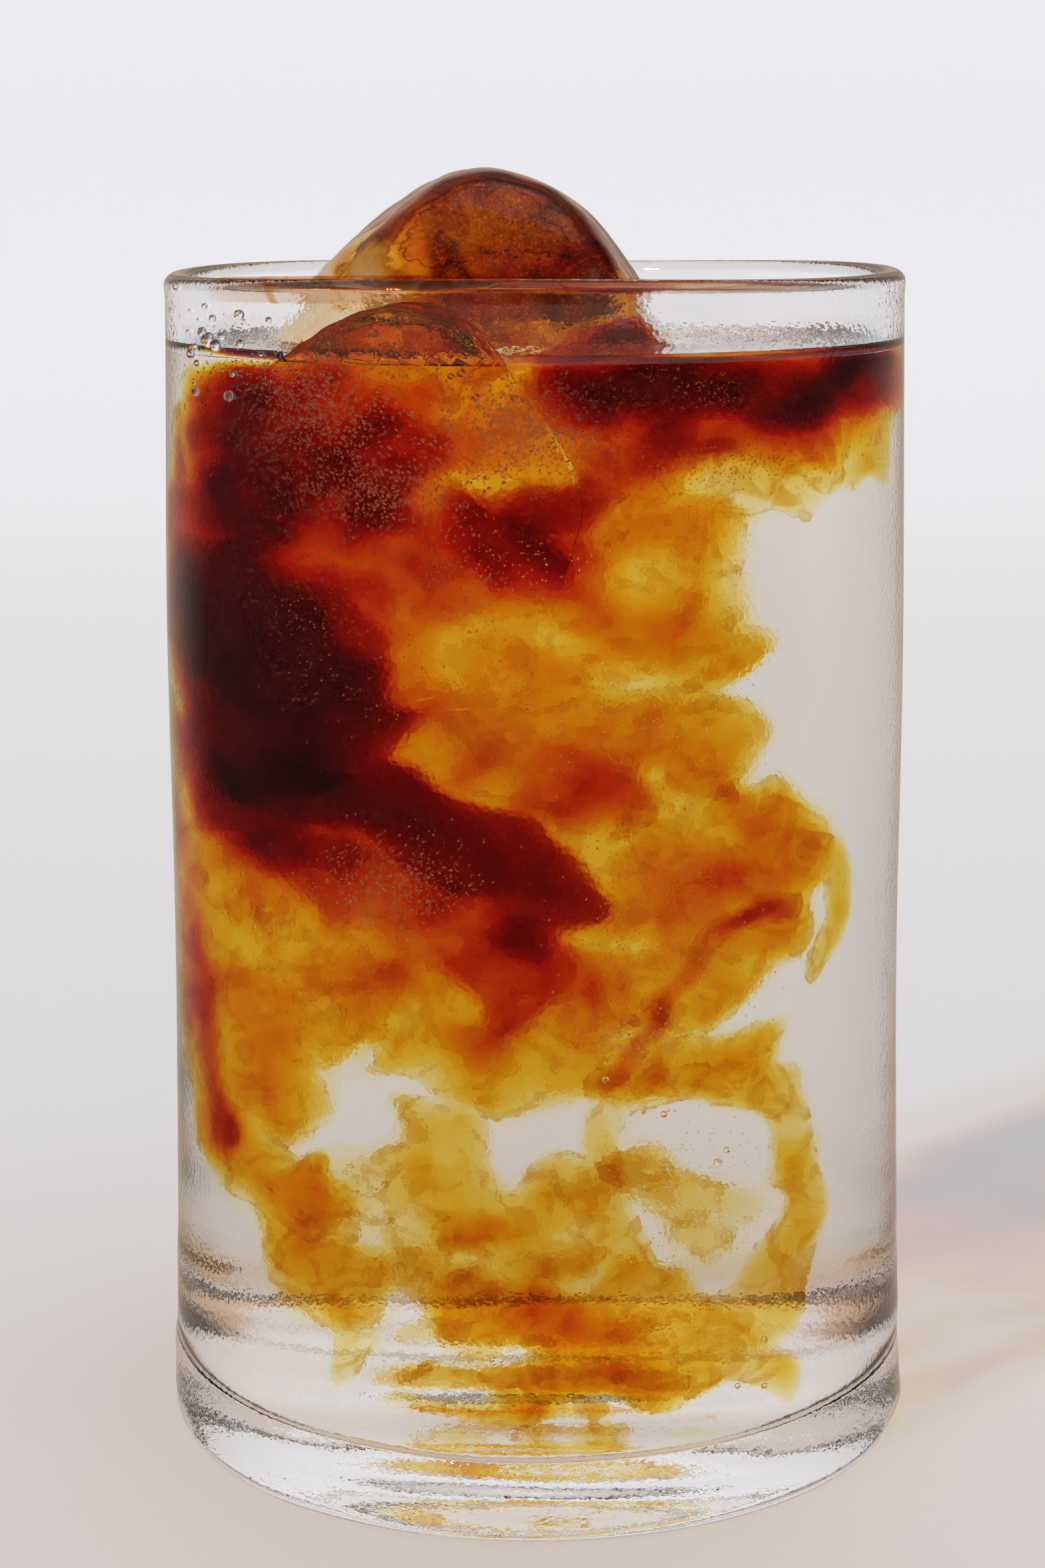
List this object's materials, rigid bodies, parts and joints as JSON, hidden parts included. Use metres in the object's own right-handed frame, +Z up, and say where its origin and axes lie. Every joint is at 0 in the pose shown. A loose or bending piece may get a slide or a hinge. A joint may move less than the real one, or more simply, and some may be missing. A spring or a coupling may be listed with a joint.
{
  "type": "glass of cold brew coffee",
  "caption": "Straight clear tumbler with a thick foot, filled to just under the rim with coffee swirling into water, ice standing out of the drink.",
  "frame": {"origin": "centre of the glass's foot, on the surface that it stands on", "axes": "+Z up along the glass's axis, -Y towards the viewer of the picture, +X to the viewer's right"},
  "size_m": [0.076, 0.076, 0.1281],
  "materials": {
    "clear_glass": "clear handmade glass, faintly wavy, dewy outside, rounded lip and thick foot",
    "coffee": "clear liquid with coffee clouds that run from pale gold through orange and red to near black",
    "ice": "wet clear ice with fine bubbles, melt-rounded facets"
  },
  "bodies": {
    "root": {"glass": "clear_glass", "drink": "coffee", "ice_crown": "ice", "ice_front": "ice"}
  },
  "joints": []
}
